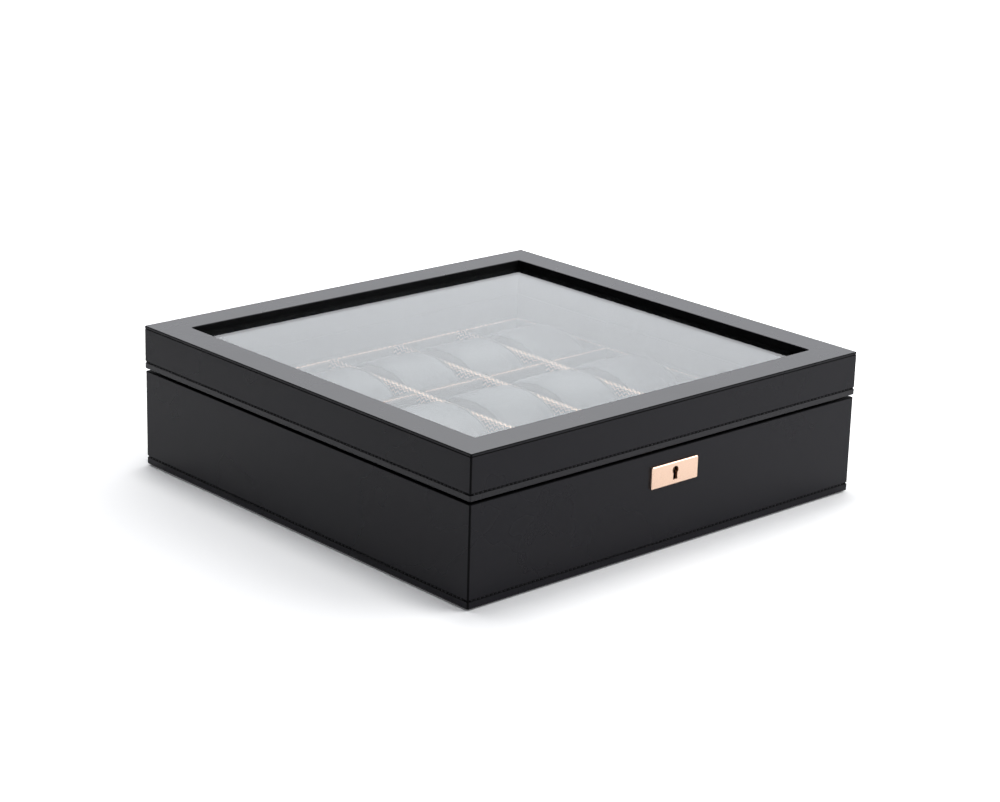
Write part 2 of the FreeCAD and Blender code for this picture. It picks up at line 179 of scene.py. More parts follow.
def paintedEdgeAndShade():
    # cut edge of the leather, sealed with black edge paint: matt and a little uneven; the same black also
    # serves as painted shade in grooves, gaps, undersides, corners and round the opening
    look = edgeAndShadeLook
    material, tree, output = newMaterial("edge_paint_and_shade_black")
    place = addNode(tree, "ShaderNodeTexCoord").outputs["Object"]
    ripple = addNode(tree, "ShaderNodeTexNoise",
                     values={"Scale": 1 / (look["ripple"] * mm), "Detail": look["rippleDetail"]},
                     links={"Vector": place}).outputs["Fac"]
    bump = addNode(tree, "ShaderNodeBump",
                   values={"Strength": look["rippleStrength"], "Distance": look["rippleDepth"] * mm},
                   links={"Height": ripple})
    shader = addNode(tree, "ShaderNodeBsdfPrincipled",
                     values={"Base Color": hexLinear(look["colour"]), "Roughness": look["roughness"],
                             "IOR": look["ior"], "Specular IOR Level": look["specular"]},
                     links={"Normal": bump.outputs["Normal"]})
    tree.links.new(shader.outputs["BSDF"], output.inputs["Surface"])
    return material


threadLook = {
    # darker than the leather: the thread's own black, deepened as a painted shade of the needle holes so that
    # the stitches read as dark dashes
    "colour": "#030304",
    "ply": 1.6965,            # from ply to ply, drawn coarser than real thread so that it shows
    "plyDepth": 0.05,
    "plyStrength": 0.5,
    "waver": 0.4,
    "roughness": 0.7,
    "ior": 1.3,
}
diagonalWave = math.tau / 10   # length of one diagonal wave at a scale of 1


def waxedThread():
    # bonded polyester thread, waxed and twisted: fine slanted plies with a dull shine
    look = threadLook
    material, tree, output = newMaterial("waxed_thread_black")
    place = addNode(tree, "ShaderNodeTexCoord").outputs["Object"]
    plies = addNode(tree, "ShaderNodeTexWave", {"wave_type": "BANDS", "bands_direction": "DIAGONAL"},
                    {"Scale": diagonalWave / (look["ply"] * mm), "Distortion": look["waver"]},
                    {"Vector": place})
    bump = addNode(tree, "ShaderNodeBump",
                   values={"Strength": look["plyStrength"], "Distance": look["plyDepth"] * mm},
                   links={"Height": plies.outputs["Fac"]})
    shader = addNode(tree, "ShaderNodeBsdfPrincipled",
                     values={"Base Color": hexLinear(look["colour"]), "Roughness": look["roughness"],
                             "IOR": look["ior"]},
                     links={"Normal": bump.outputs["Normal"]})
    tree.links.new(shader.outputs["BSDF"], output.inputs["Surface"])
    return material


glassLook = {"tint": "#f7fbfa", "ior": 1.45}


def floatGlass():
    # clear float glass, fire-polished: mirrors the surroundings at a low angle, lamps reach through it
    look = glassLook
    material, tree, output = newMaterial("float_glass_clear")
    glass = addNode(tree, "ShaderNodeBsdfPrincipled",
                    values={"Base Color": hexLinear(look["tint"]), "Roughness": 0.0, "IOR": look["ior"],
                            "Transmission Weight": 1.0})
    through = addNode(tree, "ShaderNodeBsdfTransparent", values={"Color": hexLinear(look["tint"])})
    path = addNode(tree, "ShaderNodeLightPath")
    mixed = addNode(tree, "ShaderNodeMixShader",
                    links={"Fac": path.outputs["Is Shadow Ray"], 1: glass.outputs["BSDF"],
                           2: through.outputs["BSDF"]})
    tree.links.new(mixed.outputs["Shader"], output.inputs["Surface"])
    return material


plateLook = {
    "colour": "#f4d2ba",
    "lineWidth": 0.18,
    "lineLength": 16.667,
    "lineDetail": 2.0,
    "lineDepth": 0.02,
    "lineStrength": 0.08,
    "spread": (0.3, 0.7),
    "roughness": (0.2, 0.3),
}


def roseGoldPlate():
    # rose-gold plating on brass, fine upright brushing: a bright even sheen drawn out sideways
    look = plateLook
    material, tree, output = newMaterial("rose_gold_plated_brushed")
    place = addNode(tree, "ShaderNodeTexCoord").outputs["Object"]
    fine = 1 / (look["lineWidth"] * mm)
    stretch = addNode(tree, "ShaderNodeMapping",
                      values={"Scale": (fine, fine, 1 / (look["lineLength"] * mm))}, links={"Vector": place})
    lines = addNode(tree, "ShaderNodeTexNoise", values={"Scale": 1.0, "Detail": look["lineDetail"]},
                    links={"Vector": stretch.outputs["Vector"]}).outputs["Fac"]
    rough = addNode(tree, "ShaderNodeMapRange", values=fromTo(look["spread"], look["roughness"]),
                    links={"Value": lines})
    bump = addNode(tree, "ShaderNodeBump",
                   values={"Strength": look["lineStrength"], "Distance": look["lineDepth"] * mm},
                   links={"Height": lines})
    shader = addNode(tree, "ShaderNodeBsdfPrincipled",
                     values={"Base Color": hexLinear(look["colour"]), "Metallic": 1.0},
                     links={"Roughness": rough.outputs["Result"], "Normal": bump.outputs["Normal"]})
    tree.links.new(shader.outputs["BSDF"], output.inputs["Surface"])
    return material


suedeLook = {
    "colour": "#0e0e10",
    "colourNap": "#161618",
    "napPatch": 14.0,
    "napDetail": 4.0,
    "napSwirl": 1.2,
    "spread": (0.35, 0.7),
    "fibre": 0.5,
    "fibreDetail": 2.0,
    "fibreDepth": 0.08,
    "fibreStrength": 0.4,
    "roughness": 0.95,
    "ior": 1.4,
    "sheen": 0.06,
    "sheenRoughness": 0.5,
    "sheenTint": "#9a9aa2",
}


def brushedSuede():
    # microfibre suede, brushed: matt, with soft strokes where the nap lies the other way
    look = suedeLook
    material, tree, output = newMaterial("microfibre_suede_brushed")
    place = addNode(tree, "ShaderNodeTexCoord").outputs["Object"]
    nap = addNode(tree, "ShaderNodeTexNoise",
                  values={"Scale": 1 / (look["napPatch"] * mm), "Detail": look["napDetail"],
                          "Distortion": look["napSwirl"]},
                  links={"Vector": place}).outputs["Fac"]
    fibres = addNode(tree, "ShaderNodeTexNoise",
                     values={"Scale": 1 / (look["fibre"] * mm), "Detail": look["fibreDetail"]},
                     links={"Vector": place}).outputs["Fac"]
    tint = addNode(tree, "ShaderNodeValToRGB", links={"Fac": nap})
    setTones(tint, look["spread"], (look["colour"], look["colourNap"]))
    bump = addNode(tree, "ShaderNodeBump",
                   values={"Strength": look["fibreStrength"], "Distance": look["fibreDepth"] * mm},
                   links={"Height": fibres})
    shader = addNode(tree, "ShaderNodeBsdfPrincipled",
                     values={"Roughness": look["roughness"], "IOR": look["ior"],
                             "Sheen Weight": look["sheen"], "Sheen Roughness": look["sheenRoughness"],
                             "Sheen Tint": hexLinear(look["sheenTint"])},
                     links={"Base Color": tint.outputs["Color"], "Normal": bump.outputs["Normal"]})
    tree.links.new(shader.outputs["BSDF"], output.inputs["Surface"])
    return material


clothLook = {
    "ground": "#0d0c0d",
    "copper": "#a87a5c",
    "copperLight": "#f6dcc6",
    "chevron": 4.2,          # width of one zigzag
    "rib": 3.0,              # rise of one rib
    "share": 0.4,            # copper part of a rib
    "soft": 0.06,            # softness of a rib's edge
    "thread": 0.35,          # weave
    "threadDetail": 1.0,
    "threadDepth": 0.12,
    "threadStrength": 0.4,
    "spread": (0.35, 0.7),
    "roughness": 0.85,       # of the black yarn
    "shine": 0.42,           # roughness of the copper
    "shineTurned": 0.72,     # roughness of the copper on boards that run along X
}


def herringboneCloth(name, length, across, shine):
    # jacquard cloth, copper lurex on black in a plain herringbone: ribs that glint on a matt black ground
    look = clothLook
    material, tree, output = newMaterial(name)
    place = addNode(tree, "ShaderNodeTexCoord").outputs["Object"]
    axes = addNode(tree, "ShaderNodeSeparateXYZ", links={"Vector": place})
    halfRib = look["rib"] * mm / 2
    zigzag = addNode(tree, "ShaderNodeMath", {"operation": "PINGPONG"}, {1: look["chevron"] * mm / 2},
                     {0: axes.outputs[length]})
    wrap = addNode(tree, "ShaderNodeMath", {"operation": "ADD"},
                   links={0: axes.outputs["Z"], 1: axes.outputs[across]})
    climb = addNode(tree, "ShaderNodeMath", {"operation": "ADD"},
                    links={0: wrap.outputs[0], 1: zigzag.outputs[0]})
    rib = addNode(tree, "ShaderNodeMath", {"operation": "PINGPONG"}, {1: halfRib}, {0: climb.outputs[0]})
    level = addNode(tree, "ShaderNodeMath", {"operation": "DIVIDE"}, {1: halfRib}, {0: rib.outputs[0]})
    figure = addNode(tree, "ShaderNodeMapRange", {"interpolation_type": "SMOOTHSTEP"},
                     {"From Min": look["share"] + look["soft"], "From Max": look["share"] - look["soft"]},
                     {"Value": level.outputs[0]}).outputs["Result"]
    weave = addNode(tree, "ShaderNodeTexNoise",
                    values={"Scale": 1 / (look["thread"] * mm), "Detail": look["threadDetail"]},
                    links={"Vector": place}).outputs["Fac"]
    glint = addNode(tree, "ShaderNodeValToRGB", links={"Fac": weave})
    setTones(glint, look["spread"], (look["copper"], look["copperLight"]))
    colour = addNode(tree, "ShaderNodeMix", {"data_type": "RGBA"}, {"A": hexLinear(look["ground"])},
                     {"Factor": figure, "B": glint.outputs["Color"]})
    rough = addNode(tree, "ShaderNodeMapRange", values={"To Min": look["roughness"], "To Max": shine},
                    links={"Value": figure})
    raised = addNode(tree, "ShaderNodeMath", {"operation": "ADD"}, links={0: figure, 1: weave})
    bump = addNode(tree, "ShaderNodeBump",
                   values={"Strength": look["threadStrength"], "Distance": look["threadDepth"] * mm},
                   links={"Height": raised.outputs[0]})
    shader = addNode(tree, "ShaderNodeBsdfPrincipled",
                     links={"Base Color": colour.outputs["Result"], "Metallic": figure,
                            "Roughness": rough.outputs["Result"], "Normal": bump.outputs["Normal"]})
    tree.links.new(shader.outputs["BSDF"], output.inputs["Surface"])
    return material


cuffLook = {
    "colour": "#17171a",
    "colourFold": "#202023",
    "grain": 1.3,
    "grainSoft": 0.35,          # part of a pebble that slopes down to its edge
    "grainDepth": 0.09,
    "grainStrength": 0.5,
    "patch": 22.0,
    "patchDetail": 3.0,
    "toneSpread": (0.3, 0.75),
    "roughSpread": (0.3, 0.7),
    "roughness": (0.44, 0.54),
    "ior": 1.42,
}


def softNappa():
    # nappa leather over foam, drum-dyed and tumbled: matt, with a loose pebble that opens over the crown
    look = cuffLook
    material, tree, output = newMaterial("nappa_leather_tumbled")
    place = addNode(tree, "ShaderNodeTexCoord").outputs["Object"]
    pebble = addNode(tree, "ShaderNodeTexVoronoi", {"feature": "DISTANCE_TO_EDGE"},
                     {"Scale": 1 / (look["grain"] * mm)}, {"Vector": place}).outputs["Distance"]
    soft = addNode(tree, "ShaderNodeMapRange", {"interpolation_type": "SMOOTHSTEP"},
                   {"From Max": look["grainSoft"]}, {"Value": pebble})
    patch = addNode(tree, "ShaderNodeTexNoise",
                    values={"Scale": 1 / (look["patch"] * mm), "Detail": look["patchDetail"]},
                    links={"Vector": place}).outputs["Fac"]
    tint = addNode(tree, "ShaderNodeValToRGB", links={"Fac": patch})
    setTones(tint, look["toneSpread"], (look["colour"], look["colourFold"]))
    rough = addNode(tree, "ShaderNodeMapRange", values=fromTo(look["roughSpread"], look["roughness"]),
                    links={"Value": patch})
    bump = addNode(tree, "ShaderNodeBump",
                   values={"Strength": look["grainStrength"], "Distance": look["grainDepth"] * mm},
                   links={"Height": soft.outputs["Result"]})
    shader = addNode(tree, "ShaderNodeBsdfPrincipled", values={"IOR": look["ior"]},
                     links={"Base Color": tint.outputs["Color"], "Roughness": rough.outputs["Result"],
                            "Normal": bump.outputs["Normal"]})
    tree.links.new(shader.outputs["BSDF"], output.inputs["Surface"])
    return material


boardLook = {
    "dark": "#8a6a4b",
    "light": "#a98562",
    "fibre": 0.6,
    "fibreDetail": 5.0,
    "fibreDepth": 0.05,
    "fibreStrength": 0.3,
    "spread": (0.35, 0.65),
    "roughness": 0.85,
    "ior": 1.5,
}


def sandedFibreboard():
    # medium-density fibreboard, sanded: even brown with short pale fibres
    look = boardLook
    material, tree, output = newMaterial("fibreboard_sanded")
    place = addNode(tree, "ShaderNodeTexCoord").outputs["Object"]
    fibre = addNode(tree, "ShaderNodeTexNoise",
                    values={"Scale": 1 / (look["fibre"] * mm), "Detail": look["fibreDetail"]},
                    links={"Vector": place}).outputs["Fac"]
    tint = addNode(tree, "ShaderNodeValToRGB", links={"Fac": fibre})
    setTones(tint, look["spread"], (look["dark"], look["light"]))
    bump = addNode(tree, "ShaderNodeBump",
                   values={"Strength": look["fibreStrength"], "Distance": look["fibreDepth"] * mm},
                   links={"Height": fibre})
    shader = addNode(tree, "ShaderNodeBsdfPrincipled",
                     values={"Roughness": look["roughness"], "IOR": look["ior"]},
                     links={"Base Color": tint.outputs["Color"], "Normal": bump.outputs["Normal"]})
    tree.links.new(shader.outputs["BSDF"], output.inputs["Surface"])
    return material


metalLooks = {
    "brass_machined": {"colour": "#d9b574", "mark": 0.4, "roughness": (0.28, 0.4)},
    "steel_bright": {"colour": "#c9c9cb", "mark": 0.3, "roughness": (0.22, 0.34)},
    "rose_gold_plated_turned": {"colour": "#f4ccb2", "mark": 0.3, "roughness": (0.3, 0.38)},
}
markLook = {"detail": 3.0, "spread": (0.3, 0.7)}


def turnedMetal(name):
    # machined metal: fine tool marks that break the highlight
    look = metalLooks[name]
    material, tree, output = newMaterial(name)
    place = addNode(tree, "ShaderNodeTexCoord").outputs["Object"]
    marks = addNode(tree, "ShaderNodeTexNoise",
                    values={"Scale": 1 / (look["mark"] * mm), "Detail": markLook["detail"]},
                    links={"Vector": place}).outputs["Fac"]
    rough = addNode(tree, "ShaderNodeMapRange", values=fromTo(markLook["spread"], look["roughness"]),
                    links={"Value": marks})
    shader = addNode(tree, "ShaderNodeBsdfPrincipled",
                     values={"Base Color": hexLinear(look["colour"]), "Metallic": 1.0},
                     links={"Roughness": rough.outputs["Result"]})
    tree.links.new(shader.outputs["BSDF"], output.inputs["Surface"])
    return material


calfLeather = smoothCalfLeather("calf_leather_plated", leatherLook["ior"])
calfSheen = smoothCalfLeather("calf_leather_painted_sheen", leatherLook["iorSheen"])
edgePaintAndShade = paintedEdgeAndShade()
thread = waxedThread()
suedeAndShade = brushedSuede()
cloth = herringboneCloth("jacquard_herringbone_copper", "Y", "X", clothLook["shine"])
clothTurned = herringboneCloth("jacquard_herringbone_copper_turned", "X", "Y", clothLook["shineTurned"])
nappa = softNappa()
brass = turnedMetal("brass_machined")
steel = turnedMetal("steel_bright")

slotLooks = {
    "black_leather": calfLeather,
    "fibreboard": sandedFibreboard(),
    "suede_lining": suedeAndShade,
    "suede_pad": suedeAndShade,
    "patterned_cloth": cloth,
    "cuff_leather": nappa,
    "clear_glass": floatGlass(),
    "rose_gold": roseGoldPlate(),
    "lock_brass": brass,
    "lock_steel": steel,
    "hinge_metal": turnedMetal("rose_gold_plated_turned"),
}
# boards that run along X, and the herringbone with them
turnedBoards = ("row_divider_front", "row_divider_rear", "tray_front_wall", "tray_back_wall")
for entry in frame["record"]["subparts"]:
    turned = entry["node"] in turnedBoards
    data = nodes[entry["node"]].data
    data.materials.clear()
    data.materials.append(clothTurned if turned else slotLooks[entry["material_slot"]])


def paintFaces(name, material, chosen):
    # gives some faces of a node another material
    data = nodes[name].data
    if material.name not in data.materials:
        data.materials.append(material)
    index = data.materials.find(material.name)
    for polygon in data.polygons:
        if chosen(polygon.center, polygon.normal):
            polygon.material_index = index


# edge paint on cut edges, and the same black as painted shade in grooves, gaps, undersides, corners and round
# the opening: distances in mm, tilts are the upward part of a face's normal
edgeAndShadePlaces = {
    "bevel": 0.6,              # a bevel lies this near to the outside
    "bevelTilt": (0.3, 0.9),
    "opening": 5.0,            # further in than this, upright faces line the opening
    "openingTilt": 0.5,
    "groove": 0.66,            # half the height of a stitch groove
    "grooveFloor": 0.2,        # its floor is deeper than this
    "grooveTilt": 0.5,
    "rim": 8.0,                # higher than this, only the rim slopes
    "rimTilt": 0.3,
    "underTilt": -0.95,
    "corner": 2.0,             # reach of an upright corner
    "cornerTurn": 0.1,         # its faces look both ways by more than this
    "cornerTilt": 0.3,
    "piping": (0.6, 0.85),     # tilt of the rounded edges of a board
    "railTilt": -0.5,
    "railReach": 50.0,         # faces that look inwards from further out than this
    "strip": 0.7,              # the painted sheen begins this far below the lid's sewn line
    "stripTilt": 0.05,
}
sewnLevels = {"lid_side_leather": 4.1, "base_leather": 5.0}   # mm above a skin's lower edge


def pastEdge(point, high, reach):
    # how many of the two ways a point lies within reach of the outside
    return (abs(point.x) > high.x - reach * mm) + (abs(point.y) > high.y - reach * mm)


def paintEdgesAndShade():
    e = edgeAndShadePlaces
    low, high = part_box("lid_top_leather")
    # the top sheet's bevels: edge paint on the cut edge, also a painted shade for the dark lines at its top
    # edge and at the seam below
    paintFaces("lid_top_leather", edgePaintAndShade, lambda centre, normal:
               e["bevelTilt"][0] < abs(normal.z) < e["bevelTilt"][1] and pastEdge(centre, high, e["bevel"]))
    # upright faces round the opening: painted shade on the leather that lines it
    paintFaces("lid_top_leather", edgePaintAndShade, lambda centre, normal:
               abs(normal.z) < e["openingTilt"] and not pastEdge(centre, high, e["opening"]))
    for skin, sewn in sewnLevels.items():
        low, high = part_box(skin)
        level = low.z + sewn * mm
        # floor and walls of the stitch groove: painted shade
        paintFaces(skin, edgePaintAndShade, lambda centre, normal:
                   abs(centre.z - level) < e["groove"] * mm and
                   (not pastEdge(centre, high, e["grooveFloor"]) or abs(normal.z) > e["grooveTilt"]))
        # sloping faces high on a skin, the side's top edge at the seam and the base's top edge in the gap
        # under the lid: painted shade over a cut edge
        paintFaces(skin, edgePaintAndShade, lambda centre, normal:
                   abs(normal.z) > e["rimTilt"] and centre.z > low.z + e["rim"] * mm)
        # faces that look down: painted shade underneath
        paintFaces(skin, edgePaintAndShade, lambda centre, normal: normal.z < e["underTilt"])
    for skin in ("lid_top_leather", *sewnLevels):
        low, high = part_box(skin)
        # upright corners: edge paint on the corner joint, drawn wide as a painted shade of the rounded corner
        paintFaces(skin, edgePaintAndShade, lambda centre, normal:
                   min(abs(normal.x), abs(normal.y)) > e["cornerTurn"] and abs(normal.z) < e["cornerTilt"] and
                   pastEdge(centre, high, e["corner"]) == 2)
    # the rails are stained black underneath and where they look into the opening
    for side in sides:
        paintFaces("lid_%s_rail" % side, edgePaintAndShade, lambda centre, normal:
                   normal.z < e["railTilt"] or
                   normal.x * centre.x + normal.y * centre.y < -e["railReach"] * mm)


def paintShadeAndSheen():
    # row dividers and the right, back and left walls get dark suede on their tops and faces, a painted shade
    # where they lie in shadow; cloth shows only along their rounded edges as piping
    e = edgeAndShadePlaces
    for name in ("row_divider_front", "row_divider_rear", *("tray_%s_wall" % side for side in sides[1:])):
        paintFaces(name, suedeAndShade, lambda centre, normal: not e["piping"][0] < normal.z < e["piping"][1])
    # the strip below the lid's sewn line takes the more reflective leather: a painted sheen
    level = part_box("lid_side_leather")[0].z + (sewnLevels["lid_side_leather"] - e["strip"]) * mm
    paintFaces("lid_side_leather", calfSheen, lambda centre, normal:
               abs(normal.z) < e["stripTilt"] and centre.z < level)


paintEdgesAndShade()
paintShadeAndSheen()
print("materials on every node")


# sewn lines round the lid and the base

stitching = {
    "pitch": 3.1,         # mm from hole to hole
    "length": 2.4,
    "radius": 0.42,
    "taper": 0.35,        # part of the radius lost at the ends
    "sink": 0.5,          # how far the ends dive into the leather
    "depth": 0.3,         # thread centre below the face
    "slant": 5.0,         # degrees
    "corner": 3.0,        # bare leather at each corner
    "rings": 7,
    "around": 8,
    "bridge": (1.2, 1.32, 0.62),   # leather drawn up between two stitches: length, width, height
    "groove": 0.6,        # depth of the groove that a bridge crosses
    "bridgeGrid": 5,
}


def stitchForm():
    # a tube that dives into the leather at both ends
    s = stitching
    points = []
    for i in range(s["rings"]):
        t = 2 * i / (s["rings"] - 1) - 1
        out = -s["depth"] - s["sink"] * t ** 4
        radius = s["radius"] * (1 - s["taper"] * t ** 4)
        for k in range(s["around"]):
            angle = math.tau * k / s["around"]
            points.append((t * s["length"] / 2, radius * math.cos(angle), out + radius * math.sin(angle)))
    return points, tubeFaces(s["rings"], s["around"])


def bridgeForm():
    # a low pillow of leather in the groove, from one needle hole to the next
    length, width, height = stitching["bridge"]
    count = stitching["bridgeGrid"]
    points = []
    faces = []
    for i in range(count):
        u = 2 * i / (count - 1) - 1
        for k in range(count):
            v = 2 * k / (count - 1) - 1
            swell = (1 - u ** 4) * (1 - v ** 8)
            points.append((u * length / 2, v * width / 2, height * swell - stitching["groove"]))
    for i in range(count - 1):
        for k in range(count - 1):
            a = i * count + k
            faces.append((a, a + count, a + count + 1, a + 1))
    return points, faces


def sewnLine(skin, name, body):
    s = stitching
    low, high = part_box(skin)
    level = low.z + sewnLevels[skin] * mm
    runs = (
        (Vector((low.x, low.y, level)), Vector((1, 0, 0)), Vector((0, -1, 0)), high.x - low.x),
        (Vector((high.x, low.y, level)), Vector((0, 1, 0)), Vector((1, 0, 0)), high.y - low.y),
        (Vector((high.x, high.y, level)), Vector((-1, 0, 0)), Vector((0, 1, 0)), high.x - low.x),
        (Vector((low.x, high.y, level)), Vector((0, -1, 0)), Vector((-1, 0, 0)), high.y - low.y),
    )
    # a bridge stands at each hole, and a stitch half a step on
    sewn = {
        "stitching": (stitchForm(), thread, 0.5, s["slant"]),
        # the bridges take the more reflective leather: a painted sheen
        "stitch_bridges": (bridgeForm(), calfSheen, 0.0, 0.0),
    }
    for part, ((form, formFaces), material, shift, slant) in sewn.items():
        points = []
        faces = []
        for start, along, outward, length in runs:
            count = round((length / mm - 2 * s["corner"]) / s["pitch"])
            step = (length - 2 * s["corner"] * mm) / count
            run = Quaternion(outward, math.radians(slant)) @ along
            across = outward.cross(run)
            for i in range(count):
                centre = start + along * (s["corner"] * mm + (i + shift) * step)
                first = len(points)
                points += [centre + (run * x + across * y + outward * z) * mm for x, y, z in form]
                faces += [tuple(first + k for k in face) for face in formFaces]
        meshPiece(name + "_" + part, points, faces, material, body)


sewnLine("lid_side_leather", "lid", "lid")
sewnLine("base_leather", "base", "base")
print("sewn lines laid")


# watch cuffs

cuffShape = {
    "endRadius": 22.0,          # mm, round front and rear ends
    "flankRadius": 60.0,        # mm, from the widest level down to the base
    "shoulder": 20.0,           # degrees from the crown's middle to the round ends
    "drawDown": 0.2,            # mm at the sewn sides
    "drawIn": 3.0,              # mm at the sewn sides
    "middle": 0.45,             # of the height, where the end panels close
    "stations": 19,
    "around": 84,
    "capRings": 6,
    "capDome": 1.0,             # mm
    "foot": 0.5,                # mm, what is lower lies flat
    "gather": 0.45,             # mm, how far the seam puckers in and out
    "gatherWave": 131.943,      # radians round one seam, which makes 21 puckers
    "gatherStart": 6.28,        # radians, most that chance moves them along
    "gatherMix": (0.6, 0.7),    # even and uneven part of a pucker
    "gatherReach": 0.25,        # of the half width, inwards from the seam
    "pipingRadius": 0.9,        # mm
    "pipingSides": 8,
    "variants": 3,
    "seed": 11,
    "start": 0.975,             # the foam starts a little smaller and is blown up
    "swell": 1.2,               # mm, most that the leather may move
    "enlarge": 10.0,            # simulated at ten times its size, where the solver is at its best
    "frames": 20,
}
# cloth settings by their own names; shrink_min below 0 gives more leather than the foam needs, so it creases
cuffSheet = {
    "quality": 6,
    "mass": 0.15,
    "tension_stiffness": 18,
    "compression_stiffness": 18,
    "shear_stiffness": 6,
    "bending_stiffness": 0.6,
    "air_damping": 3,
    "vertex_group_mass": "held",
    "shrink_min": -0.07,
    "use_pressure": True,
    "uniform_pressure_force": 4.0,
}


def cuffOutline(length, height, count):
    # base line, flanks, round ends and crown, walked evenly from the middle of the base
    c = cuffShape
    end, flank = c["endRadius"], c["flankRadius"]
    lean = math.sin(math.radians(c["shoulder"]))
    rise = math.cos(math.radians(c["shoulder"]))
    crown = (length / 2 - end * (1 - lean)) / lean
    midY = (crown - end) * lean
    midZ = height - crown + (crown - end) * rise
    slope = math.asin(midZ / flank)
    foot = length / 2 - flank + flank * math.cos(slope)
    endAngle = math.radians(90 - c["shoulder"])
    walks = (foot, flank * slope, end * endAngle, crown * math.radians(c["shoulder"]))
    points = []
    for i in range(count):
        d = 2 * sum(walks) * i / count
        mirror = 1
        if d > sum(walks):
            d = 2 * sum(walks) - d
            mirror = -1
        if d <= foot:
            y, z = d, 0.0
        elif d <= sum(walks[:2]):
            angle = (d - foot) / flank - slope
            y, z = length / 2 - flank + flank * math.cos(angle), midZ + flank * math.sin(angle)
        elif d <= sum(walks[:3]):
            angle = (d - sum(walks[:2])) / end
            y, z = midY + end * math.cos(angle), midZ + end * math.sin(angle)
        else:
            angle = endAngle + (d - sum(walks[:3])) / crown
            y, z = crown * math.cos(angle), height - crown + crown * math.sin(angle)
        points.append((mirror * y, z))
    return points


def cuffMesh(width, length, height, chance):
    # band through its stations, then two domed end panels, in millimetres about the middle of the base
    c = cuffShape
    around, stations = c["around"], c["stations"]
    middle = height * c["middle"]
    even, uneven = c["gatherMix"]
    puckers = []
    for _ in range(2):
        offset = chance.uniform(0, c["gatherStart"])
        waves = [math.sin(c["gatherWave"] * k / around + offset) for k in range(around)]
        puckers.append([c["gather"] * (even * wave + uneven * chance.uniform(-1, 1)) for wave in waves])
    points = []
    for i in range(stations):
        share = 2 * i / (stations - 1) - 1
        drawn = share ** 2
        near = max(0.0, (abs(share) - (1 - c["gatherReach"])) / c["gatherReach"])
        pucker = puckers[0 if share < 0 else 1]
        outline = cuffOutline(length - 2 * c["drawIn"] * drawn, height - c["drawDown"] * drawn, around)
        for k, (y, z) in enumerate(outline):
            if z > c["foot"]:
                grow = 1 + pucker[k] * near / math.hypot(y, z - middle)
                y, z = y * grow, middle + (z - middle) * grow
            points.append((share * width / 2, y, z))
    faces = tubeFaces(stations, around)
    for side, rim in ((-1, 0), (1, (stations - 1) * around)):
        ring = list(range(rim, rim + around))
        for r in range(1, c["capRings"] + 1):
            share = 1 - r / (c["capRings"] + 0.5)   # the last ring leaves a small middle face
            dome = side * c["capDome"] * (1 - share ** 2)
            first = len(points)
            points += [(x + dome, y * share, middle + (z - middle) * share)
                       for x, y, z in points[rim:rim + around]]
            for k in range(around):
                after = (k + 1) % around
                quad = (ring[k], ring[after], first + after, first + k)
                faces.append(quad if side > 0 else quad[::-1])
            ring = list(range(first, first + around))
        faces.append(tuple(ring if side > 0 else ring[::-1]))
    return points, faces


def blowUp(forms):
    # leather over foam: the seams and the foot are held, the leather between them swells and creases
    c = cuffShape
    scale = c["enlarge"] * mm
    around, last = c["around"], (c["stations"] - 1) * c["around"]
    tries = []
    for n, (points, faces) in enumerate(forms):
        mesh = bpy.data.meshes.new("cuff_try")
        mesh.from_pydata([Vector(p) * scale for p in points], [], faces)
        form = bpy.data.objects.new("cuff_try_%d" % n, mesh)
        scene.collection.objects.link(form)
        held = form.vertex_groups.new(name="held")
        seams = [rim + k for rim in (0, last) for k in range(around)]
        held.add(seams + [k for k, p in enumerate(points) if p[2] < c["foot"]], 1.0, "REPLACE")
        sheet = form.modifiers.new("cloth", "CLOTH")
        for name, value in cuffSheet.items():
            setattr(sheet.settings, name, value)
        sheet.settings.effector_weights.gravity = 0.0
        sheet.collision_settings.use_collision = False
        sheet.point_cache.frame_start = 1
        sheet.point_cache.frame_end = c["frames"]
        tries.append(form)
    for frameNumber in range(1, c["frames"] + 1):
        scene.frame_set(frameNumber)
    graph = bpy.context.evaluated_depsgraph_get()
    out = []
    for form, (points, _) in zip(tries, forms):
        settled = form.evaluated_get(graph).data
        moved = []
        for vertex, p in zip(settled.vertices, points):
            shift = vertex.co / scale - Vector(p)
            if shift.length > c["swell"]:
                shift *= c["swell"] / shift.length
            moved.append(Vector(p) + shift)
        out.append(moved)
        bpy.data.objects.remove(form)
    scene.frame_set(1)
    return out


def pipingMesh(outline, radius):
    # cord sewn round the edge of an end panel
    around = cuffShape["pipingSides"]
    count = len(outline)
    points = []
    for i in range(count):
        tangent = (outline[(i + 1) % count] - outline[i - 1]).normalized()
        outward = tangent.cross(Vector((1, 0, 0)))
        for k in range(around):
            angle = math.tau * k / around
            p = outline[i] + outward * radius * math.cos(angle) + Vector((radius * math.sin(angle), 0, 0))
            points.append(Vector((p.x, p.y, max(p.z, 0.0))))
    return points, tubeFaces(count, around, closed=True)


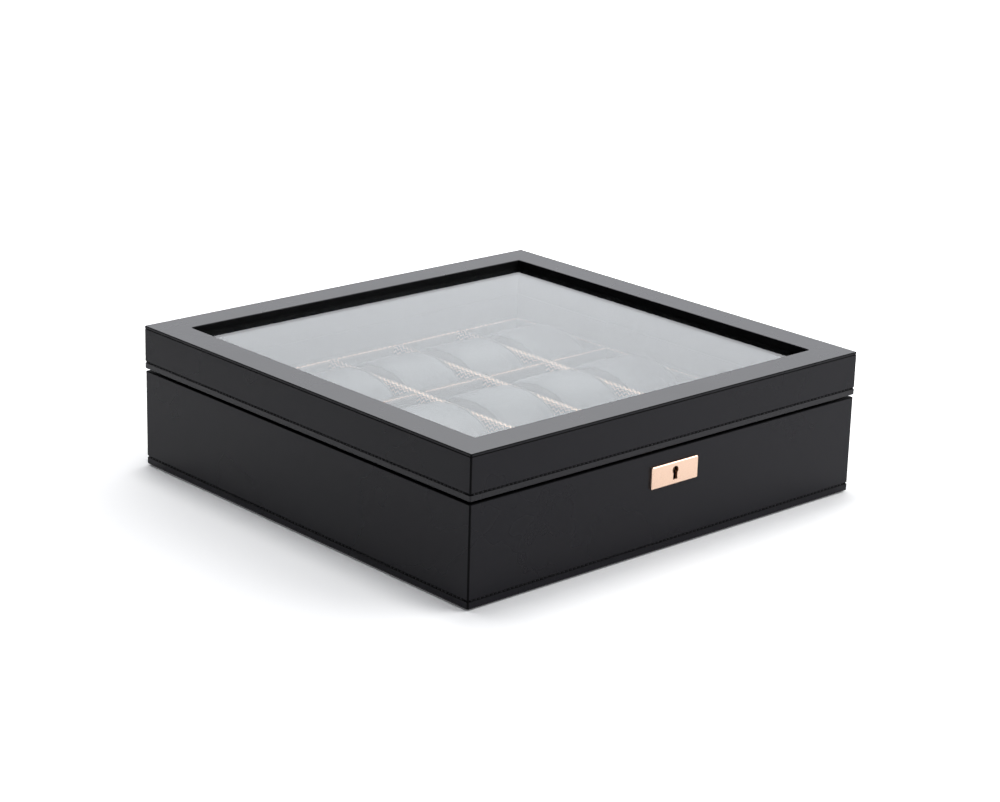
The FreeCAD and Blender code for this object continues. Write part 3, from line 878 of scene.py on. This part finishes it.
def cuffForms():
    # a few cuffs, each sewn and filled a little differently, in millimetres
    c = cuffShape
    low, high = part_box(cuffNames[0])
    size = (high - low) / mm
    around, last = c["around"], (c["stations"] - 1) * c["around"]
    chance = random.Random(c["seed"])
    shrink = c["start"]
    forms = []
    for _ in range(c["variants"]):
        points, faces = cuffMesh(size.x - 2 * c["capDome"], size.y, size.z, chance)
        forms.append(([(x, y * shrink, z * shrink) for x, y, z in points], faces))
    settled = blowUp(forms)
    meshes = []
    for points, (_, faces) in zip(settled, forms):
        spread = (max(abs(p.x) for p in points), max(abs(p.y) for p in points), max(p.z for p in points))
        fit = (size.x / 2 / spread[0], size.y / 2 / spread[1], size.z / spread[2])
        fitted = [Vector((p.x * fit[0], p.y * fit[1], max(p.z * fit[2], 0.0))) for p in points]
        mesh = bpy.data.meshes.new("cuff_form")
        mesh.from_pydata([p * mm for p in fitted], [], faces)
        form = bpy.data.objects.new("cuff_form", mesh)
        scene.collection.objects.link(form)
        form.modifiers.new("smooth", "SUBSURF").levels = 1
        bpy.context.view_layer.update()
        fine = form.evaluated_get(bpy.context.evaluated_depsgraph_get()).data
        body = [v.co / mm for v in fine.vertices]
        bodyFaces = [tuple(p.vertices) for p in fine.polygons]
        bpy.data.objects.remove(form)
        for rim in (0, last):
            cord, cordFaces = pipingMesh(fitted[rim:rim + around], c["pipingRadius"])
            bodyFaces += [tuple(len(body) + k for k in face) for face in cordFaces]
            body += cord
        meshes.append((body, bodyFaces))
    return meshes


def placeCuffs():
    forms = cuffForms()
    for n, name in enumerate(cuffNames):
        points, faces = forms[n * 7 % 5 % len(forms)]   # an uneven order, so that no row repeats the next
        low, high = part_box(name)
        base = Vector(((low.x + high.x) / 2, (low.y + high.y) / 2, low.z))
        turn = -1 if n % 2 else 1                       # every other cuff is turned round
        placed = [base + Vector((turn * p.x, turn * p.y, p.z)) * mm for p in points]
        piece = meshPiece("watch_" + name, placed, faces, nappa, name)
        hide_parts(name)


placeCuffs()
print("cuffs placed")


# floor, light and camera, in metres

stageLook = {
    "size": 14.0,
    "colour": "#f2f2f2",
    "seen": 1.2,              # the camera sees the paper this much brighter
    "paintedGlow": (0.05, 1.0),      # painted light: a glow only the camera sees, weak near the box and full far from it, which narrows the box's shadow
    "far": (0.25, 0.7),       # where the painted glow rises
}


def paperFloor():
    # the camera sees the paper as overexposed white, plus a painted glow that grows away from the box and
    # narrows its shadow; everything else sees it as it is
    look = stageLook
    material, tree, output = newMaterial("white_paper_floor")
    straight = addNode(tree, "ShaderNodeLightPath").outputs["Is Camera Ray"]
    white = hexLinear(look["colour"])
    bright = (*(c * look["seen"] for c in white[:3]), 1.0)
    colour = addNode(tree, "ShaderNodeMix", {"data_type": "RGBA"}, {"A": white, "B": bright},
                     {"Factor": straight})
    paper = addNode(tree, "ShaderNodeBsdfDiffuse", links={"Color": colour.outputs["Result"]})
    away = addNode(tree, "ShaderNodeVectorMath", {"operation": "LENGTH"},
                   links={0: addNode(tree, "ShaderNodeNewGeometry").outputs["Position"]})
    rise = addNode(tree, "ShaderNodeMapRange", {"interpolation_type": "SMOOTHSTEP"},
                   fromTo(look["far"], look["paintedGlow"]), {"Value": away.outputs["Value"]})
    strength = addNode(tree, "ShaderNodeMath", {"operation": "MULTIPLY"},
                       links={0: rise.outputs["Result"], 1: straight})
    paintedGlow = addNode(tree, "ShaderNodeEmission", links={"Strength": strength.outputs[0]})
    both = addNode(tree, "ShaderNodeAddShader", links={0: paper.outputs["BSDF"], 1: paintedGlow.outputs["Emission"]})
    tree.links.new(both.outputs["Shader"], output.inputs["Surface"])
    half = look["size"] / 2
    corners = [(-half, -half, 0), (half, -half, 0), (half, half, 0), (-half, half, 0)]
    mesh = bpy.data.meshes.new("floor")
    mesh.from_pydata(corners, [], [(0, 1, 2, 3)])
    mesh.materials.append(material)
    floor = bpy.data.objects.new("floor", mesh)
    scene.collection.objects.link(floor)


skyLook = {
    "seen": 1.0,
    "fill": 0.3,
    "mirrored": (0.14, 1.12),         # what polished things show of the dim and the lit end of the room
    "bright": (0.645, 0.699, 0.31),   # towards the lit end
    "turn": (0.62, 0.93),             # where the room goes from dim to lit
    "colour": "#f5f8ff",
}


def studioRoom():
    # white to the camera, a weak fill on the object, and a room with a dim and a lit end in what is polished
    look = skyLook
    world = bpy.data.worlds.new("studio")
    scene.world = world
    world.use_nodes = True
    tree = world.node_tree
    tree.nodes.clear()
    path = addNode(tree, "ShaderNodeLightPath")
    mirrored = addNode(tree, "ShaderNodeMath", {"operation": "MAXIMUM"},
                       links={0: path.outputs["Is Glossy Ray"], 1: path.outputs["Is Transmission Ray"]})
    toward = addNode(tree, "ShaderNodeVectorMath", {"operation": "DOT_PRODUCT"}, {1: look["bright"]},
                     {0: addNode(tree, "ShaderNodeTexCoord").outputs["Generated"]})
    room = addNode(tree, "ShaderNodeMapRange", {"interpolation_type": "SMOOTHSTEP"},
                   fromTo(look["turn"], look["mirrored"]), {"Value": toward.outputs["Value"]})
    lit = addNode(tree, "ShaderNodeMix", {"data_type": "FLOAT"}, {"A": look["fill"]},
                  {"Factor": mirrored.outputs[0], "B": room.outputs["Result"]})
    strength = addNode(tree, "ShaderNodeMix", {"data_type": "FLOAT"}, {"B": look["seen"]},
                       {"Factor": path.outputs["Is Camera Ray"], "A": lit.outputs["Result"]})
    tint = addNode(tree, "ShaderNodeMix", {"data_type": "RGBA"},
                   {"A": hexLinear(look["colour"]), "B": hexLinear("#ffffff")},
                   {"Factor": path.outputs["Is Camera Ray"]})
    sky = addNode(tree, "ShaderNodeBackground",
                  links={"Color": tint.outputs["Result"], "Strength": strength.outputs["Result"]})
    addNode(tree, "ShaderNodeOutputWorld", links={"Surface": sky.outputs["Background"]})


# radiance is the brightness that a mirror would show, at the lower and the upper end of the graded part
softBoxes = {
    "back_panel": {
        "place": (1.15, 1.25, 0.8),
        "aim": (0.0, 0.0, 0.1),
        "size": (2.6, 1.4),
        "radiance": (0.48, 3.7),
        "graded": (0.42, 0.8),
        "mirrored": True,
    },
    "top_panel": {
        "place": (-0.05, 0.14, 1.4),
        "aim": (0.0, 0.0, 0.0),
        "size": (0.5, 0.5),
        "radiance": (12.2, 12.2),
        "graded": (0.0, 1.0),
        "mirrored": False,
    },
    "right_panel": {
        "place": (0.9, -1.0, 1.1),
        "aim": (0.7, -0.8, 0.0),
        "size": (1.2, 1.2),
        "radiance": (3.8, 3.8),
        "graded": (0.0, 1.0),
        "mirrored": True,
    },
}


def aimAt(thing, place, aim, roll=0.0):
    thing.location = place
    thing.rotation_mode = "QUATERNION"
    forward = (Vector(aim) - Vector(place)).to_track_quat("-Z", "Y")
    thing.rotation_quaternion = forward @ Quaternion((0, 0, 1), math.radians(roll))


def hangSoftBox(name, box):
    width, height = box["size"]
    lamp = bpy.data.lights.new(name, "AREA")
    lamp.shape = "RECTANGLE"
    lamp.size = width
    lamp.size_y = height
    lamp.energy = math.pi * width * height   # a radiance of 1
    lamp.use_nodes = True
    tree = lamp.node_tree
    tree.nodes.clear()
    panel = addNode(tree, "ShaderNodeNewGeometry").outputs["Parametric"]
    across = addNode(tree, "ShaderNodeSeparateXYZ", links={"Vector": panel})
    level = addNode(tree, "ShaderNodeMapRange", values=fromTo(box["graded"], box["radiance"]),
                    links={"Value": across.outputs["Y"]})
    glow = addNode(tree, "ShaderNodeEmission", links={"Strength": level.outputs["Result"]})
    addNode(tree, "ShaderNodeOutputLight", links={"Surface": glow.outputs["Emission"]})
    rig = bpy.data.objects.new(name, lamp)
    scene.collection.objects.link(rig)
    aimAt(rig, box["place"], box["aim"])
    rig.visible_camera = False
    rig.visible_glossy = box["mirrored"]


# the view was worked out from the box's corners in the picture
view = {
    "place": (-1.01734, -1.11617, 0.53886),
    "aim": (0.01179, 0.01072, 0.045),
    "roll": 1.598,     # degrees
    "lens": 93.32,     # mm
    "film": 36.0,
}

paperFloor()
studioRoom()
for name, box in softBoxes.items():
    hangSoftBox(name, box)
camera = bpy.data.objects.new("camera", bpy.data.cameras.new("camera"))
scene.collection.objects.link(camera)
camera.data.sensor_width = view["film"]
camera.data.lens = view["lens"]
aimAt(camera, view["place"], view["aim"], view["roll"])
scene.camera = camera
print("stage, lamps and camera set")
